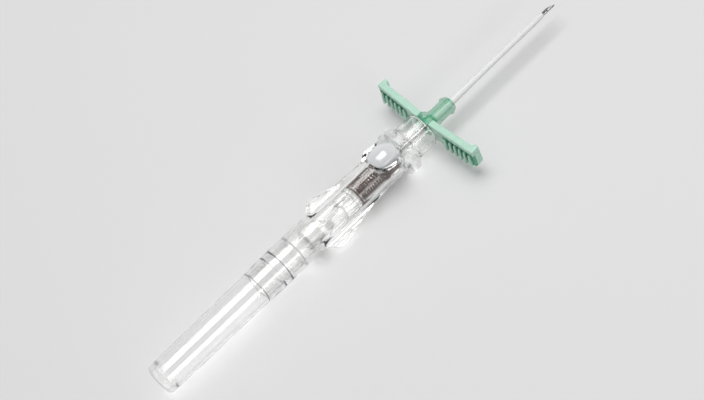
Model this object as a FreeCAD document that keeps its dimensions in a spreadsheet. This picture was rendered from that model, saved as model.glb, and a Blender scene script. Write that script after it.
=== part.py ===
import FreeCAD, Part
import math
import os

import Sketcher

# A peel-away introducer on a spring-retracted needle.
# The needle's axis is X, from the barrel's closed rear end at the origin to the sharp tip.
# Z points up, to the side that carries the button. Lengths are in millimetres.

V = FreeCAD.Vector
X_AXIS = V(1, 0, 0)
Y_AXIS = V(0, 1, 0)

DIMENSIONS = {
    # clear barrel
    "barrel_rear_radius": 3.88,
    "barrel_mid_radius": 4.08,
    "barrel_front_radius": 4.22,
    "barrel_step_start": 31.2,
    "barrel_step_end": 33.2,
    "barrel_front": 41.1,
    "barrel_floor": 1.1,
    "barrel_bore_rear": 3.05,
    "barrel_bore_front": 3.25,
    "barrel_corner": 1.0,
    # spigot of the grip inside the barrel, with its snap bead
    "spigot_rear": 29.7,
    "spigot_radius": 3.48,
    "spigot_bore": 3.1,
    "spigot_bore_end": 40.2,
    "bead_start": 34.5,
    "bead_end": 36.8,
    "bead_height": 0.22,
    "seat_gap": 0.03,
    # outside of the grip
    "flare_foot": 48.9,
    "flare_foot_radius": 4.3,
    "flare_crest_start": 50.8,
    "flare_crest_end": 51.9,
    "flare_radius": 6.1,
    "belly_foot": 47.1,
    "belly_crest_start": 49.7,
    "belly_crest_end": 51.6,
    "belly_radius": 6.55,
    "belly_arc_radius": 74.8,
    "waist_start": 66.0,
    "waist_radius": 4.23,
    "waist_arc_radius": 54.1,
    "scoop_radius": 14.0,
    "scoop_bottom": 4.3,
    "scoop_start": 43.1,
    "collar_start": 72.3,
    "collar_end": 75.8,
    "collar_radius": 5.75,
    "collar_edge": 0.7,
    "nose_radius": 4.27,
    "nose_front": 81.5,
    "nose_bore": 3.45,
    "nose_floor": 76.4,
    # inside of the grip
    "spring_bore": 2.95,
    "spring_wall": 71.65,
    "neck_bore": 1.75,
    "neck_bore_end": 74.7,
    "snout_root": 76.0,
    "snout_front": 84.6,
    "snout_root_radius": 1.62,
    "snout_tip_radius": 1.42,
    "snout_bore": 0.8,
    # boss and well round the button
    "boss_rear": 65.5,
    "boss_half_width": 4.12,
    "boss_corner": 2.7,
    "boss_top": 3.55,
    "boss_front": 75.4,
    "well_gap": 0.25,
    "well_bottom": 0.4,
    "side_dip_start": 68.4,
    "side_dip_low": 2.95,
    "side_dip_radius": 15.0,
    # button and its latch plate
    "button_centre": 69.0,
    "button_half_width": 2.85,
    "button_front": 73.1,
    "button_front_radius": 1.6,
    "button_top": 5.2,
    "button_bottom": 2.45,
    "button_travel": 1.3,
    "dome_length": 4.3,
    "dome_width": 3.3,
    "dome_height": 2.6,
    "dome_centre": 69.6,
    "button_room": 2.72,
    "latch_thickness": 0.9,
    "latch_inset": 0.05,
    "latch_top": 3.35,
    "latch_half_width": 2.45,
    "latch_bottom": 3.3,
    "latch_slot_gap": 0.15,
    "keyhole_radius": 1.95,
    "keyslot_half_width": 1.56,
    # needle carrier
    "chamber_rear": 44.3,
    "chamber_front": 58.9,
    "chamber_radius": 2.4,
    "chamber_bore": 1.92,
    "chamber_flange": 0.9,
    "chamber_flange_radius": 2.72,
    "chamber_edge": 0.3,
    "plug_recess": 0.6,
    "plug_length": 3.6,
    "bond_gap": 0.01,
    "hub_rear": 54.9,
    "shaft_radius": 1.72,
    "shaft_start": 59.3,
    "shaft_front": 71.1,
    "neck_radius": 1.2,
    "neck_start": 71.9,
    "neck_end": 73.25,
    "catch_radius": 1.46,
    "catch_end": 74.2,
    "catch_edge": 0.3,
    "blood_bore": 0.72,
    "bond_start": 66.4,
    "bond_end": 69.4,
    "needle_bore_gap": 0.015,
    # needle
    "needle_radius": 0.455,
    "needle_bore": 0.3,
    "needle_rear": 61.0,
    "needle_tip": 123.9,
    "bevel_angle": 15.0,
    "lancet_angle": 21.0,
    "lancet_roll": 36.0,
    # retraction spring, compressed
    "spring_rear": 59.05,
    "spring_front": 71.6,
    "spring_wire": 0.42,
    "spring_mean_radius": 2.36,
    "spring_turns": 18.0,
    # introducer hub, one half: tube
    "hub_back": 81.6,
    "hub_stub_radius": 2.3,
    "hub_collar_back": 81.95,
    "hub_collar_front": 83.6,
    "hub_collar_radius": 2.75,
    "hub_shoulder": 84.2,
    "fore_tube_radius": 1.9,
    "cone_start": 88.65,
    "cone_land": 0.5,
    "cone_radius": 2.28,
    "cone_tip_radius": 1.62,
    "hub_front": 90.35,
    "socket_gap": 0.04,
    "socket_front": 84.8,
    "score_depth": 0.35,
    "score_half_width": 0.3,
    # introducer hub, one half: wing, from its own back face
    "wing_pivot": 81.89,
    "wing_sweep": 2.25,
    "wing_inner": 1.85,
    "wing_thickness": 1.69,
    "wing_span": 15.45,
    "wing_half_height": 2.75,
    "lip_front": 2.5,
    "lip_width": 1.0,
    "lip_slope": 0.9,
    "lip_edge": 0.45,
    "gusset_radius": 1.95,
    "gusset_half_height": 1.6,
    "recess_inner": 6.1,
    "recess_outer": 14.9,
    "recess_top": 1.3,
    "recess_top_depth": 0.55,
    "recess_low_depth": 0.1,
    "rib_radius": 0.37,
    "rib_height": 0.98,
    "rib_top": 0.72,
    "rib_pitch": 1.483,
    "rib_first": 6.775,
    # introducer cannula, one half
    "cannula_gap": 0.01,
    "cannula_root_radius": 0.87,
    "cannula_shaft_radius": 0.72,
    "cannula_taper_start": 92.4,
    "cannula_taper_end": 100.6,
    "cannula_parallel_end": 117.3,
    "cannula_tip": 120.0,
    "cannula_tip_radius": 0.56,
    "cannula_bore": 0.5,
}
RIB_COUNT = 6
HALF_TURN = 180
# how far a cutting tool reaches past a face, and how close two lengths count as equal
PAST = 1
NEAR = 0.01
# the block that stands for the grinding wheel at the needle's point
GRINDER_SIZE = (12, 6, 4)
GRINDER_REACH = 8

doc = FreeCAD.newDocument("introducer_needle")
sheet = doc.addObject("Spreadsheet::Sheet", "sizes")


def fill_sheet():
    for row, (alias, value) in enumerate(DIMENSIONS.items(), start=1):
        sheet.set("A%d" % row, alias)
        sheet.set("B%d" % row, str(value))
        sheet.setAlias("B%d" % row, alias)
    doc.recompute()


class Size:
    """A length worked out from cells of the sheet: its expression, and its value now."""

    def __init__(self, text, value):
        self.text = text
        self.value = value

    def __add__(self, other):
        other = as_size(other)
        return Size("(%s + %s)" % (self.text, other.text), self.value + other.value)

    def __sub__(self, other):
        other = as_size(other)
        return Size("(%s - %s)" % (self.text, other.text), self.value - other.value)

    def __mul__(self, other):
        other = as_size(other)
        return Size("(%s * %s)" % (self.text, other.text), self.value * other.value)

    def __truediv__(self, other):
        other = as_size(other)
        return Size("(%s / %s)" % (self.text, other.text), self.value / other.value)

    def __neg__(self):
        return Size("(0 - %s)" % self.text, -self.value)


def as_size(number):
    if isinstance(number, Size):
        return number
    return Size(repr(float(number)), float(number))


def cell(alias):
    return Size("sizes.%s" % alias, float(sheet.get(alias)))


def bind(thing, **sizes):
    """Bind properties to sizes; a double underscore in a name stands for a dot."""
    for name, size in sizes.items():
        thing.setExpression(name.replace("__", "."), as_size(size).text)


# Sketches and bodies

def new_body(label):
    body = doc.addObject("PartDesign::Body", label)
    body.Label = label
    return body


def origin_plane(body, role):
    for feature in body.Origin.OriginFeatures:
        if feature.Role == role:
            return feature
    raise ValueError("no plane " + role)


def new_sketch(body, name, role, offset=None):
    sketch = body.newObject("Sketcher::SketchObject", name)
    sketch.AttachmentSupport = (origin_plane(body, role), [""])
    sketch.MapMode = "FlatFace"
    if offset is not None:
        sketch.AttachmentOffset = FreeCAD.Placement(V(0, 0, offset.value), FreeCAD.Rotation())
        bind(sketch, AttachmentOffset__Base__z=offset)
    return sketch


def pin_point(sketch, geometry, end, across, up):
    """Fix one point of a sketch at a distance across and a distance up from its origin."""
    for kind, axis, size in (("DistanceX", -2, across), ("DistanceY", -1, up)):
        size = as_size(size)
        if size.value == 0:
            sketch.addConstraint(Sketcher.Constraint("PointOnObject", geometry, end, axis))
            continue
        index = sketch.addConstraint(Sketcher.Constraint(kind, geometry, end, size.value))
        sketch.setExpression("Constraints[%d]" % index, size.text)


def arc_curve(start, end, radius, turn):
    """The short arc from start to end; turn is 1 for anticlockwise and -1 for clockwise."""
    chord = end - start
    middle = (start + end) * 0.5
    height = math.sqrt(max(radius ** 2 - (chord.Length / 2) ** 2, 0))
    left = V(-chord.y, chord.x, 0).normalize()
    centre = middle + left * (height * turn)
    first, last = (start, end) if turn > 0 else (end, start)
    begin = math.atan2(first.y - centre.y, first.x - centre.x)
    finish = math.atan2(last.y - centre.y, last.x - centre.x)
    if finish < begin:
        finish += 2 * math.pi
    return Part.ArcOfCircle(Part.Circle(centre, V(0, 0, 1), radius), begin, finish)


def outline(sketch, corners, arcs=None):
    """A closed outline through the corners; arcs gives (radius, turn) for the side after a corner."""
    arcs = arcs or {}
    corners = [(as_size(across), as_size(up)) for across, up in corners]
    count = len(corners)
    base = sketch.GeometryCount
    ends = []
    for i, (across, up) in enumerate(corners):
        start = V(across.value, up.value, 0)
        following = corners[(i + 1) % count]
        end = V(following[0].value, following[1].value, 0)
        if i in arcs:
            radius, turn = arcs[i]
            sketch.addGeometry(arc_curve(start, end, radius.value, turn), False)
            ends.append((1, 2) if turn > 0 else (2, 1))
        else:
            sketch.addGeometry(Part.LineSegment(start, end), False)
            ends.append((1, 2))
    for i in range(count):
        following = (i + 1) % count
        sketch.addConstraint(
            Sketcher.Constraint("Coincident", base + i, ends[i][1], base + following, ends[following][0]))
    for i, (across, up) in enumerate(corners):
        pin_point(sketch, base + i, ends[i][0], across, up)
        if i in arcs:
            radius = arcs[i][0]
            index = sketch.addConstraint(Sketcher.Constraint("Radius", base + i, radius.value))
            sketch.setExpression("Constraints[%d]" % index, radius.text)


def circle(sketch, across, up, radius):
    across, up, radius = as_size(across), as_size(up), as_size(radius)
    index = sketch.addGeometry(Part.Circle(V(across.value, up.value, 0), V(0, 0, 1), radius.value), False)
    pin_point(sketch, index, 3, across, up)
    bound = sketch.addConstraint(Sketcher.Constraint("Radius", index, radius.value))
    sketch.setExpression("Constraints[%d]" % bound, radius.text)


def turn_about_axis(body, kind, name, corners, arcs=None, angle=360, reverse=False, plane="XZ_Plane"):
    """A Revolution or Groove about the needle's axis; corners are places along it and radii."""
    sketch = new_sketch(body, name + "_outline", plane)
    outline(sketch, corners, arcs)
    feature = body.newObject("PartDesign::" + kind, name)
    feature.Profile = sketch
    feature.ReferenceAxis = (sketch, ["H_Axis"])
    feature.Angle = angle
    feature.Reversed = reverse
    return feature


def pocket(body, name, sketch, length, symmetric=False, reverse=False):
    doc.recompute()
    before = body.Shape.Volume
    feature = body.newObject("PartDesign::Pocket", name)
    feature.Profile = sketch
    bind(feature, Length=length)
    feature.Midplane = symmetric
    feature.Reversed = reverse
    doc.recompute()
    if not body.Shape.Volume < before - 1e-6:
        raise ValueError(name + " cuts nothing")
    return feature


def pad(body, name, sketch, length, symmetric=False):
    feature = body.newObject("PartDesign::Pad", name)
    feature.Profile = sketch
    bind(feature, Length=length)
    feature.Midplane = symmetric
    return feature


def round_rims(body, name, base, radius, rims):
    """Round the circular edges of a feature; a rim is a place along the axis and a radius."""
    doc.recompute()
    names = []
    for number, edge in enumerate(base.Shape.Edges, start=1):
        curve = edge.Curve
        if not isinstance(curve, Part.Circle):
            continue
        for place, rim_radius in rims:
            if abs(curve.Center.x - place.value) < NEAR and abs(curve.Radius - rim_radius.value) < NEAR:
                names.append("Edge%d" % number)
    if not names:
        raise ValueError(name + " finds no edge")
    feature = body.newObject("PartDesign::Fillet", name)
    feature.Base = (base, names)
    bind(feature, Radius=radius)
    return feature


# Part primitives and booleans

def along_x(thing, start):
    thing.Placement = FreeCAD.Placement(V(start.value, 0, 0), FreeCAD.Rotation(Y_AXIS, 90))
    bind(thing, Placement__Base__x=start)


def rod(name, start, end, radius):
    thing = doc.addObject("Part::Cylinder", name)
    bind(thing, Radius=radius, Height=end - start)
    along_x(thing, start)
    return thing


def ring(name, start, end, outer, inner):
    whole = rod(name + "_whole", start, end, outer)
    hole = rod(name + "_hole", start - PAST, end + PAST, inner)
    return cut(name, whole, hole)


def block(name, low, high):
    thing = doc.addObject("Part::Box", name)
    low = [as_size(value) for value in low]
    high = [as_size(value) for value in high]
    bind(thing, Length=high[0] - low[0], Width=high[1] - low[1], Height=high[2] - low[2])
    bind(thing, Placement__Base__x=low[0], Placement__Base__y=low[1], Placement__Base__z=low[2])
    return thing


def cut(name, base, tool):
    thing = doc.addObject("Part::Cut", name)
    thing.Base = base
    thing.Tool = tool
    return thing


def joined(kind, name, shapes):
    thing = doc.addObject("Part::Multi" + kind, name)
    thing.Shapes = shapes
    return thing


# The pieces

def make_barrel():
    """Clear tube with a closed rear end; its mouth widens to take the grip's spigot."""
    body = new_body("barrel")
    bead_radius = cell("spigot_radius") + cell("bead_height") + cell("seat_gap")
    socket = cell("spigot_radius") + cell("seat_gap")
    tube = turn_about_axis(body, "Revolution", "tube", [
        (0, 0),
        (0, cell("barrel_rear_radius")),
        (cell("barrel_step_start"), cell("barrel_mid_radius")),
        (cell("barrel_step_end"), cell("barrel_front_radius")),
        (cell("barrel_front"), cell("barrel_front_radius")),
        (cell("barrel_front"), socket),
        (cell("bead_end") + cell("seat_gap"), socket),
        (cell("bead_end") - cell("bead_height"), bead_radius),
        (cell("bead_start") + cell("bead_height"), bead_radius),
        (cell("bead_start") - cell("seat_gap"), socket),
        (cell("spigot_rear") - cell("seat_gap"), socket),
        (cell("spigot_rear") - cell("seat_gap"), cell("barrel_bore_front")),
        (cell("barrel_floor"), cell("barrel_bore_rear")),
        (cell("barrel_floor"), 0),
    ])
    round_rims(body, "rear_corner", tube, cell("barrel_corner"), [(as_size(0), cell("barrel_rear_radius"))])
    return body


def grip_outside(body):
    """The revolved outside: spigot, flare, waist, collar and nose cup."""
    spigot = cell("spigot_radius")
    bead = spigot + cell("bead_height")
    outside = turn_about_axis(body, "Revolution", "outside", [
        (cell("spigot_rear"), 0),
        (cell("spigot_rear"), spigot),
        (cell("bead_start"), spigot),
        (cell("bead_start") + cell("bead_height"), bead),
        (cell("bead_end") - cell("bead_height"), bead),
        (cell("bead_end"), spigot),
        (cell("barrel_front"), spigot),
        (cell("barrel_front"), cell("barrel_front_radius")),
        (cell("belly_foot"), cell("barrel_front_radius")),
        (cell("flare_foot"), cell("flare_foot_radius")),
        (cell("flare_crest_start"), cell("flare_radius")),
        (cell("flare_crest_end"), cell("flare_radius")),
        (cell("waist_start"), cell("waist_radius")),
        (cell("collar_start"), cell("waist_radius")),
        (cell("collar_start"), cell("collar_radius")),
        (cell("collar_end"), cell("collar_radius")),
        (cell("collar_end"), cell("nose_radius")),
        (cell("nose_front"), cell("nose_radius")),
        (cell("nose_front"), 0),
    ], arcs={11: (cell("waist_arc_radius"), 1)})
    round_rims(body, "collar_round", outside, cell("collar_edge"), [
        (cell("collar_start"), cell("collar_radius")),
        (cell("collar_end"), cell("collar_radius")),
    ])


def grip_belly(body):
    """The flare's lower half is longer and deeper than the upper one."""
    turn_about_axis(body, "Revolution", "belly", [
        (cell("belly_foot"), 0),
        (cell("belly_foot"), cell("barrel_front_radius")),
        (cell("belly_crest_start"), cell("belly_radius")),
        (cell("belly_crest_end"), cell("belly_radius")),
        (cell("waist_start"), cell("waist_radius")),
        (cell("waist_start"), 0),
    ], arcs={3: (cell("belly_arc_radius"), 1)}, angle=HALF_TURN, reverse=True, plane="XY_Plane")


def egg(sketch, margin):
    """The button's plan: a half circle at the rear, straight sides, two round front corners."""
    half = cell("button_half_width") + margin
    rear = cell("button_centre") - half
    front = cell("button_front") + margin
    corner = cell("button_front_radius") + margin
    outline(sketch, [
        (cell("button_centre"), half),
        (rear, 0),
        (cell("button_centre"), -half),
        (front - corner, -half),
        (front, -half + corner),
        (front, half - corner),
        (front - corner, half),
    ], arcs={0: (half, 1), 1: (half, 1), 3: (corner, 1), 5: (corner, 1)})


def grip_boss(body):
    """The raised wall that stands round the button and runs into the collar."""
    sketch = new_sketch(body, "boss_plan", "XY_Plane")
    half = cell("boss_half_width")
    corner = cell("boss_corner")
    outline(sketch, [
        (cell("boss_rear") + corner, half),
        (cell("boss_rear"), half - corner),
        (cell("boss_rear"), corner - half),
        (cell("boss_rear") + corner, -half),
        (cell("boss_front"), -half),
        (cell("boss_front"), half),
    ], arcs={0: (corner, 1), 2: (corner, 1)})
    pad(body, "boss", sketch, cell("boss_top"))


def grip_scoops(body):
    """Four shallow hollows along the flare leave a ridge at each diagonal."""
    sketch = new_sketch(body, "scoop_circles", "YZ_Plane", cell("scoop_start"))
    centre = cell("scoop_bottom") + cell("scoop_radius")
    for across, up in ((centre, 0), (-centre, 0), (0, centre), (0, -centre)):
        circle(sketch, across, up, cell("scoop_radius"))
    pocket(body, "scoops", sketch, cell("waist_start") - cell("scoop_start"), reverse=True)


def grip_side_dips(body):
    """The boss falls towards the collar, so that the button stands free for a fingertip."""
    sketch = new_sketch(body, "side_dip_outline", "XZ_Plane")
    high = cell("boss_top") + PAST
    outline(sketch, [
        (cell("side_dip_start"), high),
        (cell("side_dip_start"), cell("boss_top")),
        (cell("collar_start"), cell("side_dip_low")),
        (cell("collar_start"), high),
    ], arcs={1: (cell("side_dip_radius"), 1)})
    pocket(body, "side_dips", sketch, cell("collar_radius") * 2, symmetric=True)


def grip_bores(body):
    """Spring chamber, bore for the carrier's neck, nose cup round the snout, needle hole."""
    turn_about_axis(body, "Groove", "spring_chamber", [
        (cell("spigot_rear") - PAST, 0),
        (cell("spigot_rear") - PAST, cell("spigot_bore")),
        (cell("spigot_bore_end"), cell("spigot_bore")),
        (cell("spigot_bore_end"), cell("spring_bore")),
        (cell("spring_wall"), cell("spring_bore")),
        (cell("spring_wall"), cell("neck_bore")),
        (cell("neck_bore_end"), cell("neck_bore")),
        (cell("neck_bore_end"), cell("snout_bore")),
        (cell("nose_front") + PAST, cell("snout_bore")),
        (cell("nose_front") + PAST, 0),
    ])
    turn_about_axis(body, "Groove", "nose_cup", [
        (cell("nose_floor"), cell("snout_root_radius")),
        (cell("nose_floor"), cell("nose_bore")),
        (cell("nose_front") + PAST, cell("nose_bore")),
        (cell("nose_front") + PAST, cell("snout_root_radius")),
    ])
    turn_about_axis(body, "Revolution", "snout", [
        (cell("snout_root"), cell("snout_bore")),
        (cell("snout_root"), cell("snout_root_radius")),
        (cell("nose_front"), cell("snout_root_radius")),
        (cell("snout_front"), cell("snout_tip_radius")),
        (cell("snout_front"), cell("snout_bore")),
    ])


def grip_well(body):
    """The well that the button sinks into, and the slot that its latch plate hangs in."""
    high = cell("collar_radius") + PAST
    well = new_sketch(body, "well_plan", "XY_Plane", high)
    egg(well, cell("well_gap"))
    pocket(body, "well", well, high - cell("well_bottom"))
    start = cell("button_front") - cell("latch_thickness") - cell("latch_slot_gap")
    end = cell("button_front") + cell("well_gap")
    half = cell("latch_half_width") + cell("latch_slot_gap") * 2
    slot = new_sketch(body, "latch_slot_plan", "XY_Plane", high)
    outline(slot, [(start, -half), (end, -half), (end, half), (start, half)])
    depth = cell("latch_bottom") + cell("button_travel") + cell("latch_slot_gap")
    pocket(body, "latch_slot", slot, high + depth)


def make_grip():
    """Clear handle: it carries the barrel, the button and the snout that holds the introducer."""
    body = new_body("grip")
    grip_outside(body)
    grip_belly(body)
    grip_boss(body)
    grip_scoops(body)
    grip_side_dips(body)
    grip_bores(body)
    grip_well(body)
    return body


def button_head():
    """The dome: an ellipsoid trimmed to the button's plan, hollow over the spring."""
    plan_body = new_body("button_plan_body")
    plan = new_sketch(plan_body, "button_plan", "XY_Plane", cell("button_bottom"))
    egg(plan, as_size(0))
    pad(plan_body, "button_prism", plan, cell("button_top") + PAST - cell("button_bottom"))
    dome = doc.addObject("Part::Ellipsoid", "button_dome")
    bind(dome, Radius1=cell("dome_height"), Radius2=cell("dome_length"), Radius3=cell("dome_width"))
    bind(dome, Placement__Base__x=cell("dome_centre"))
    bind(dome, Placement__Base__z=cell("button_top") - cell("dome_height"))
    head = joined("Common", "button_head", [plan_body, dome])
    rear = cell("button_centre") - cell("button_half_width") - PAST
    hollow = rod("button_hollow", rear, cell("button_front") - cell("latch_thickness"), cell("button_room"))
    bind(hollow, Placement__Base__z=cell("button_travel"))
    return cut("button_shell", head, hollow)


def latch_plate():
    """The plate that hangs from the button's front edge."""
    back = cell("button_front") - cell("latch_thickness")
    front = cell("button_front") - cell("latch_inset")
    half = cell("latch_half_width")
    return block("latch_plate", (back, -half, -cell("latch_bottom")), (front, half, cell("latch_top")))


def keyhole_opening():
    """Keyhole through the plate: its slot holds the carrier's neck, its round hole lets the catch pass."""
    back = cell("button_front") - cell("latch_thickness") - PAST
    front = cell("button_front") + PAST
    keyhole = rod("keyhole", back, front, cell("keyhole_radius"))
    bind(keyhole, Placement__Base__z=cell("button_travel"))
    slot_half = cell("keyslot_half_width")
    slot_round = rod("keyslot_round", back, front, slot_half)
    slot_side = block("keyslot_side", (back, -slot_half, 0), (front, slot_half, cell("button_travel")))
    return joined("Fuse", "keyhole_opening", [keyhole, slot_round, slot_side])


def make_latch_button():
    """White dome over a thin shell; the latch plate hangs from its front."""
    blank = joined("Fuse", "button_and_plate", [button_head(), latch_plate()])
    return cut("latch_button", blank, keyhole_opening())


def make_flash_chamber():
    """Clear tube behind the spring, where blood is first seen; its flange takes the spring."""
    body = new_body("flash_chamber")
    flange_start = cell("chamber_front") - cell("chamber_flange")
    tube = turn_about_axis(body, "Revolution", "chamber", [
        (cell("chamber_rear"), cell("chamber_bore")),
        (cell("chamber_rear"), cell("chamber_radius")),
        (flange_start, cell("chamber_radius")),
        (flange_start, cell("chamber_flange_radius")),
        (cell("chamber_front"), cell("chamber_flange_radius")),
        (cell("chamber_front"), cell("chamber_bore")),
    ])
    round_rims(body, "chamber_round", tube, cell("chamber_edge"), [(cell("chamber_rear"), cell("chamber_radius"))])
    return body


def make_vent_plug():
    """Porous plug that lets air out of the flash chamber and holds blood back."""
    start = cell("chamber_rear") + cell("plug_recess")
    return rod("vent_plug", start, start + cell("plug_length"), cell("chamber_bore") - cell("bond_gap"))


def make_needle_hub():
    """Clear hub: a spigot in the flash chamber, a shaft inside the spring, a neck and a catch."""
    body = new_body("needle_hub")
    needle_hole = cell("needle_radius") + cell("needle_bore_gap")
    spigot = cell("chamber_bore") - cell("bond_gap")
    turn_about_axis(body, "Revolution", "hub", [
        (cell("hub_rear"), cell("blood_bore")),
        (cell("hub_rear"), spigot),
        (cell("chamber_front"), spigot),
        (cell("shaft_start"), cell("shaft_radius")),
        (cell("shaft_front"), cell("shaft_radius")),
        (cell("neck_start"), cell("neck_radius")),
        (cell("neck_end"), cell("neck_radius")),
        (cell("neck_end"), cell("catch_radius")),
        (cell("catch_end") - cell("catch_edge"), cell("catch_radius")),
        (cell("catch_end"), cell("catch_radius") - cell("catch_edge")),
        (cell("catch_end"), needle_hole),
        (cell("bond_end"), needle_hole),
        (cell("bond_end"), cell("blood_bore")),
    ])
    return body


def make_needle_adhesive():
    """Ring of adhesive that bonds the needle into the hub."""
    return ring("needle_adhesive", cell("bond_start"), cell("bond_end"),
                cell("blood_bore") - cell("bond_gap"), cell("needle_radius") + cell("bond_gap"))


def grinder(name, angle, roll):
    """A block whose lower face lies on a plane through the needle's point."""
    tool = doc.addObject("Part::Box", name)
    tool.Length, tool.Width, tool.Height = GRINDER_SIZE
    turned = FreeCAD.Rotation(X_AXIS, roll.value) * FreeCAD.Rotation(Y_AXIS, angle.value)
    point = V(cell("needle_tip").value, 0, -cell("needle_radius").value)
    reach = V(GRINDER_REACH, tool.Width.Value / 2, 0)
    tool.Placement = FreeCAD.Placement(point - turned.multVec(reach), turned)
    return tool


def make_needle():
    """Steel needle with a long bevel and two lancet facets that meet at the point."""
    tube = ring("needle_tube", cell("needle_rear"), cell("needle_tip"), cell("needle_radius"), cell("needle_bore"))
    bevel = grinder("bevel", cell("bevel_angle"), as_size(0))
    left = grinder("lancet_left", cell("lancet_angle"), cell("lancet_roll"))
    right = grinder("lancet_right", cell("lancet_angle"), -cell("lancet_roll"))
    return cut("needle", tube, joined("Fuse", "grinding", [bevel, left, right]))


def make_retraction_spring():
    """Compression spring round the hub's shaft, between the chamber's flange and the spring wall."""
    length = cell("spring_front") - cell("spring_rear") - cell("spring_wire")
    helix = doc.addObject("Part::Helix", "spring_path")
    bind(helix, Radius=cell("spring_mean_radius"), Height=length, Pitch=length / cell("spring_turns"))
    wire = doc.addObject("Part::Circle", "spring_wire_section")
    wire.Placement = FreeCAD.Placement(V(0, 0, 0), FreeCAD.Rotation(X_AXIS, 90))
    bind(wire, Radius=cell("spring_wire") / 2, Placement__Base__x=cell("spring_mean_radius"))
    doc.recompute()
    spring = doc.addObject("Part::Sweep", "retraction_spring")
    spring.Sections = [wire]
    spring.Spine = (helix, ["Edge%d" % (i + 1) for i in range(len(helix.Shape.Edges))])
    spring.Solid = True
    spring.Frenet = True
    along_x(spring, cell("spring_rear") + cell("spring_wire") / 2)
    return spring


def hub_tube(label):
    """Half of the hub's tube: the socket over the snout, a collar, the fore tube, the end cone."""
    body = new_body(label)
    turn_about_axis(body, "Revolution", "half_tube", [
        (cell("hub_back"), cell("snout_root_radius") + cell("socket_gap")),
        (cell("hub_back"), cell("hub_stub_radius")),
        (cell("hub_collar_back"), cell("hub_stub_radius")),
        (cell("hub_collar_back"), cell("hub_collar_radius")),
        (cell("hub_collar_front"), cell("hub_collar_radius")),
        (cell("hub_shoulder"), cell("fore_tube_radius")),
        (cell("cone_start"), cell("fore_tube_radius")),
        (cell("cone_start"), cell("cone_radius")),
        (cell("cone_start") + cell("cone_land"), cell("cone_radius")),
        (cell("hub_front"), cell("cone_tip_radius")),
        (cell("hub_front"), cell("cannula_root_radius") + cell("cannula_gap")),
        (cell("socket_front"), cell("cannula_root_radius") + cell("cannula_gap")),
        (cell("socket_front"), cell("snout_tip_radius") + cell("socket_gap")),
    ], angle=HALF_TURN, reverse=True)
    score_line(body)
    return body


def score_line(body):
    """V-shaped notch along the top and the bottom of the collar, where the hub splits."""
    sketch = new_sketch(body, "score_section", "YZ_Plane", cell("hub_collar_back") - PAST)
    root = cell("hub_collar_radius") - cell("score_depth")
    top = cell("hub_collar_radius") + cell("score_depth")
    wide = cell("score_half_width") * 2
    outline(sketch, [(0, root), (wide, top), (0, top)])
    outline(sketch, [(0, -root), (0, -top), (wide, -top)])
    pocket(body, "score", sketch, cell("hub_shoulder") - cell("hub_collar_back") + PAST, reverse=True)


def wing_blank(body):
    """The wing seen from above: flat back, a lip with a round foot and corner at its end."""
    sketch = new_sketch(body, "wing_plan", "XY_Plane")
    front = cell("wing_thickness")
    span = cell("wing_span")
    lip_foot = span - cell("lip_width")
    outline(sketch, [
        (0, cell("wing_inner")),
        (front, cell("wing_inner")),
        (front, lip_foot - cell("lip_slope")),
        (cell("lip_front"), lip_foot),
        (cell("lip_front"), span - cell("lip_edge")),
        (cell("lip_front") - cell("lip_edge"), span),
        (0, span),
    ], arcs={2: (cell("lip_slope"), -1), 4: (cell("lip_edge"), 1)})
    pad(body, "plate", sketch, cell("wing_half_height") * 2, symmetric=True)


def wing_gusset(body):
    """The web with a hollow curve between the wing's front and the fore tube."""
    sketch = new_sketch(body, "gusset_plan", "XY_Plane")
    foot = cell("wing_thickness") - cell("wing_thickness") / 2
    front = cell("wing_thickness")
    inner = cell("wing_inner")
    radius = cell("gusset_radius")
    outline(sketch, [
        (foot, inner),
        (front + radius, inner),
        (front, inner + radius),
        (foot, inner + radius),
    ], arcs={1: (radius, -1)})
    pad(body, "gusset", sketch, cell("gusset_half_height") * 2, symmetric=True)


def wing_recess(body):
    """The back of the wing is hollowed below a smooth band; the floor leans rearward."""
    sketch = new_sketch(body, "recess_section", "XZ_Plane", -cell("recess_inner"))
    low = cell("wing_half_height")
    outline(sketch, [
        (-PAST, cell("recess_top")),
        (cell("recess_top_depth"), cell("recess_top")),
        (cell("recess_low_depth"), -low),
        (cell("recess_low_depth"), -low - PAST),
        (-PAST, -low - PAST),
    ])
    pocket(body, "recess", sketch, cell("recess_outer") - cell("recess_inner"))


def wing_ribs(body):
    """Round-topped grip ribs that stand on the recess floor and lean with it."""
    low = cell("wing_half_height")
    radius = cell("rib_radius")
    lean = (cell("recess_top_depth") - cell("recess_low_depth")) / (cell("recess_top") + low)
    low_x = cell("recess_low_depth") + radius - cell("rib_height")
    top_x = low_x + lean * (cell("rib_top") + low)
    root = radius
    sketch = new_sketch(body, "rib_plans", "XY_Plane", -low)
    places = [cell("rib_first") + cell("rib_pitch") * i for i in range(RIB_COUNT)]
    for place in places:
        outline(sketch, [
            (cell("recess_low_depth") + root, place + radius),
            (low_x, place + radius),
            (low_x - radius, place),
            (low_x, place - radius),
            (cell("recess_low_depth") + root, place - radius),
        ], arcs={1: (radius, 1), 2: (radius, 1)})
    ribs = pad(body, "ribs", sketch, cell("rib_top") + low)
    ribs.UseCustomVector = True
    ribs.Direction = V(lean.value, 0, 1)
    ribs.AlongSketchNormal = True
    for number, place in enumerate(places, start=1):
        ridge = body.newObject("PartDesign::AdditiveCylinder", "rib_ridge_%d" % number)
        along_x(ridge, top_x)
        bind(ridge, Radius=radius, Height=cell("rib_height"))
        bind(ridge, Placement__Base__y=place, Placement__Base__z=cell("rib_top"))
        nose = body.newObject("PartDesign::AdditiveSphere", "rib_nose_%d" % number)
        bind(nose, Radius=radius)
        bind(nose, Placement__Base__x=top_x, Placement__Base__y=place, Placement__Base__z=cell("rib_top"))


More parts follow.
